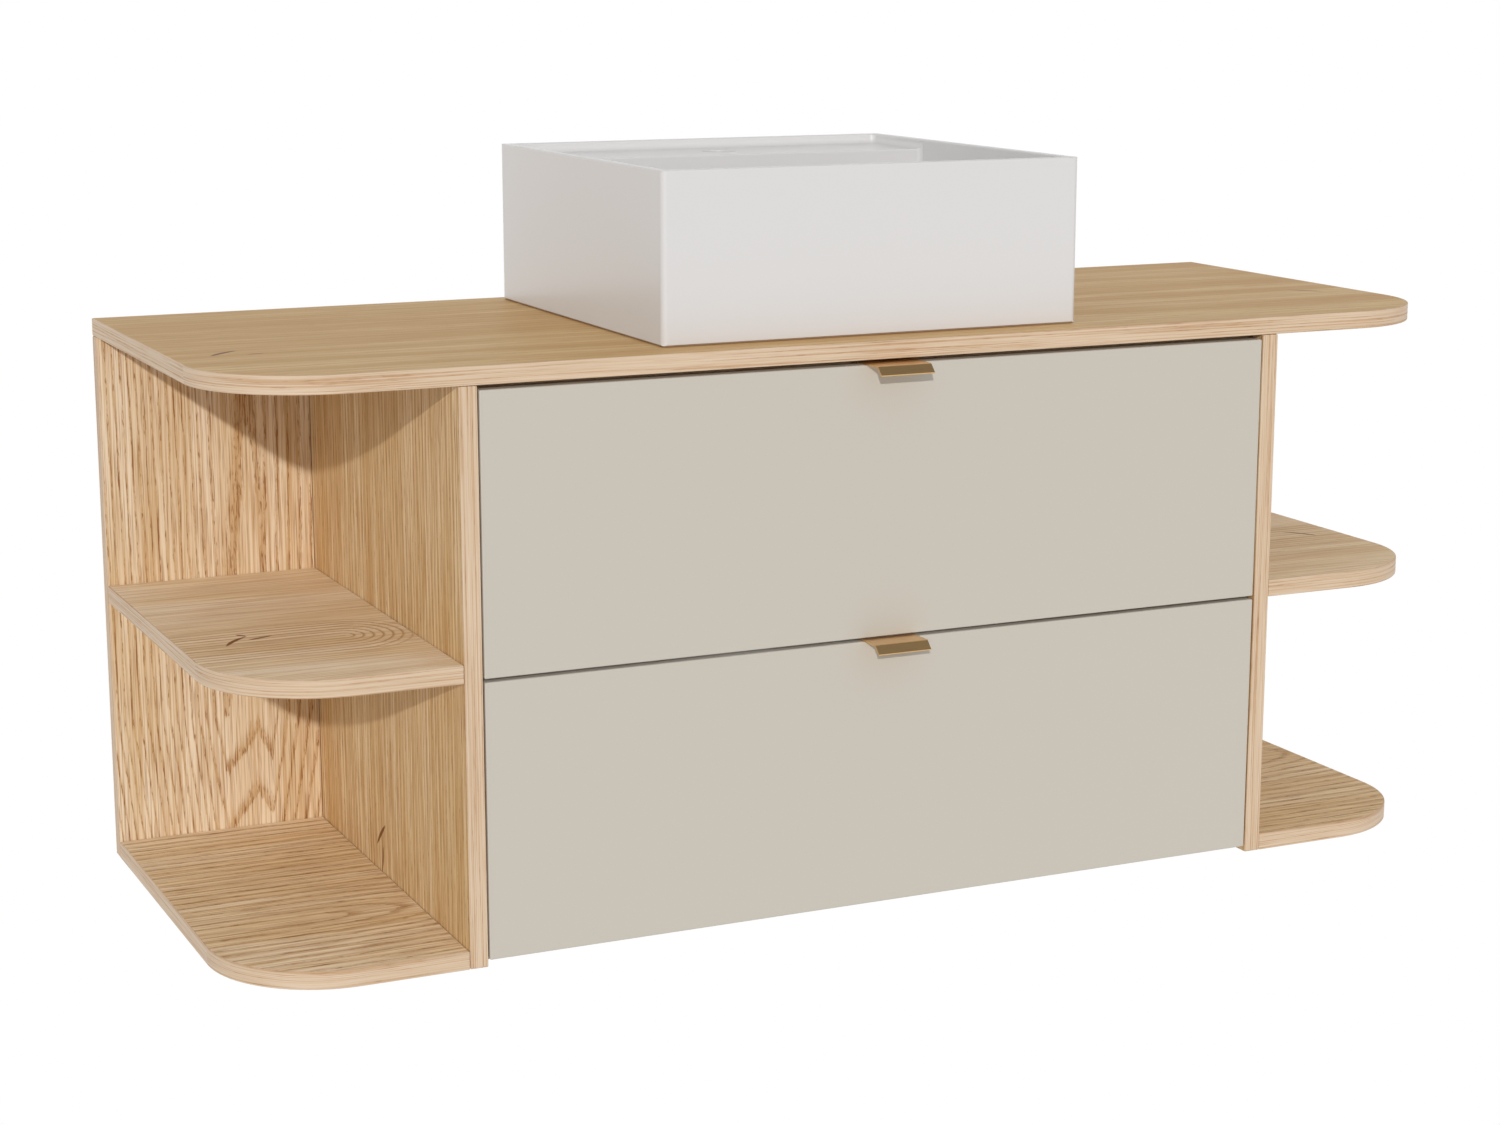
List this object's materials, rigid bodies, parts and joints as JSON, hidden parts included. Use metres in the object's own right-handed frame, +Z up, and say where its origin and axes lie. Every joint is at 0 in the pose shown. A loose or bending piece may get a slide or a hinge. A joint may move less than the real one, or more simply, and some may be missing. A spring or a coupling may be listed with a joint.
{
  "type": "vessel sink on vanity",
  "caption": "Wall-hung oak vanity with open side shelves, two drawers on runners and a rectangular ceramic vessel basin with a tap deck and a push-open waste.",
  "frame": {"origin": "centre of the hanging rail's rear face, on the wall plane", "axes": "+X along the vanity to the right as seen from the front, +Y into the wall, +Z up"},
  "size_m": [1.2, 0.4805, 0.665],
  "materials": {
    "oak_veneer": "matt lacquered oak veneer",
    "greige_lacquer": "satin greige lacquer on fibreboard",
    "drawer_board": "matt melamine-faced board",
    "brushed_brass": "brushed, lacquered",
    "white_ceramic": "satin white glaze",
    "silicone": "smooth",
    "chrome": "polished",
    "zinc_steel": "zinc plated",
    "white_plastic": "moulded polypropylene",
    "grey_plastic": "moulded, fine texture",
    "black_rubber": "matt"
  },
  "bodies": {
    "cabinet": {"back_panel_left": "oak_veneer", "back_panel_right": "oak_veneer", "basin": "white_ceramic", "basin_seal": "silicone", "cabinet_floor": "oak_veneer", "divider_left": "oak_veneer", "divider_right": "oak_veneer", "front_rail": "oak_veneer", "hanger_left": "zinc_steel", "hanger_right": "zinc_steel", "hanging_rail": "oak_veneer", "lower_rear_rail": "oak_veneer", "lower_runner_cabinet_left": "zinc_steel", "lower_runner_cabinet_right": "zinc_steel", "shelf_bottom_left": "oak_veneer", "shelf_bottom_right": "oak_veneer", "shelf_mid_left": "oak_veneer", "shelf_mid_right": "oak_veneer", "trap_body": "white_plastic", "trap_cup": "white_plastic", "trap_inlet": "white_plastic", "trap_neck_nut": "white_plastic", "trap_outlet": "chrome", "trap_outlet_nut": "white_plastic", "trap_top_nut": "white_plastic", "upper_runner_cabinet_left": "zinc_steel", "upper_runner_cabinet_right": "zinc_steel", "wall_rosette": "chrome", "waste_body": "chrome", "waste_gasket": "black_rubber", "waste_nut": "zinc_steel", "worktop": "oak_veneer"},
    "upper_drawer": {"siphon_guard": "grey_plastic", "upper_drawer_back_left": "drawer_board", "upper_drawer_back_right": "drawer_board", "upper_drawer_bottom": "drawer_board", "upper_drawer_front": "greige_lacquer", "upper_drawer_handle": "brushed_brass", "upper_drawer_handle_screw_left": "zinc_steel", "upper_drawer_handle_screw_right": "zinc_steel", "upper_drawer_side_left": "drawer_board", "upper_drawer_side_right": "drawer_board", "upper_runner_drawer_left": "zinc_steel", "upper_runner_drawer_right": "zinc_steel"},
    "lower_drawer": {"lower_drawer_back": "drawer_board", "lower_drawer_bottom": "drawer_board", "lower_drawer_front": "greige_lacquer", "lower_drawer_handle": "brushed_brass", "lower_drawer_handle_screw_left": "zinc_steel", "lower_drawer_handle_screw_right": "zinc_steel", "lower_drawer_side_left": "drawer_board", "lower_drawer_side_right": "drawer_board", "lower_runner_drawer_left": "zinc_steel", "lower_runner_drawer_right": "zinc_steel"},
    "waste_plug": {"waste_plug": "chrome"},
    "upper_runner_left": {"upper_runner_middle_left": "zinc_steel"},
    "upper_runner_right": {"upper_runner_middle_right": "zinc_steel"},
    "lower_runner_left": {"lower_runner_middle_left": "zinc_steel"},
    "lower_runner_right": {"lower_runner_middle_right": "zinc_steel"}
  },
  "joints": [
    {"name": "upper_drawer_slide", "type": "slide", "parent": "cabinet", "child": "upper_drawer", "axis": [0, -1, 0], "range_m": [0, 0.38]},
    {"name": "upper_runner_left_slide", "type": "slide", "parent": "cabinet", "child": "upper_runner_left", "axis": [0, -1, 0], "range_m": [0, 0.19]},
    {"name": "upper_runner_right_slide", "type": "slide", "parent": "cabinet", "child": "upper_runner_right", "axis": [0, -1, 0], "range_m": [0, 0.19]},
    {"name": "lower_drawer_slide", "type": "slide", "parent": "cabinet", "child": "lower_drawer", "axis": [0, -1, 0], "range_m": [0, 0.38]},
    {"name": "lower_runner_left_slide", "type": "slide", "parent": "cabinet", "child": "lower_runner_left", "axis": [0, -1, 0], "range_m": [0, 0.19]},
    {"name": "lower_runner_right_slide", "type": "slide", "parent": "cabinet", "child": "lower_runner_right", "axis": [0, -1, 0], "range_m": [0, 0.19]},
    {"name": "waste_plug_lift", "type": "slide", "parent": "cabinet", "child": "waste_plug", "axis": [0, 0, 1], "range_m": [0, 0.009]}
  ],
  "couplings": [
    {"joint": "upper_runner_left_slide", "follows": "upper_drawer_slide", "ratio": 0.5},
    {"joint": "upper_runner_right_slide", "follows": "upper_drawer_slide", "ratio": 0.5},
    {"joint": "lower_runner_left_slide", "follows": "lower_drawer_slide", "ratio": 0.5},
    {"joint": "lower_runner_right_slide", "follows": "lower_drawer_slide", "ratio": 0.5}
  ]
}
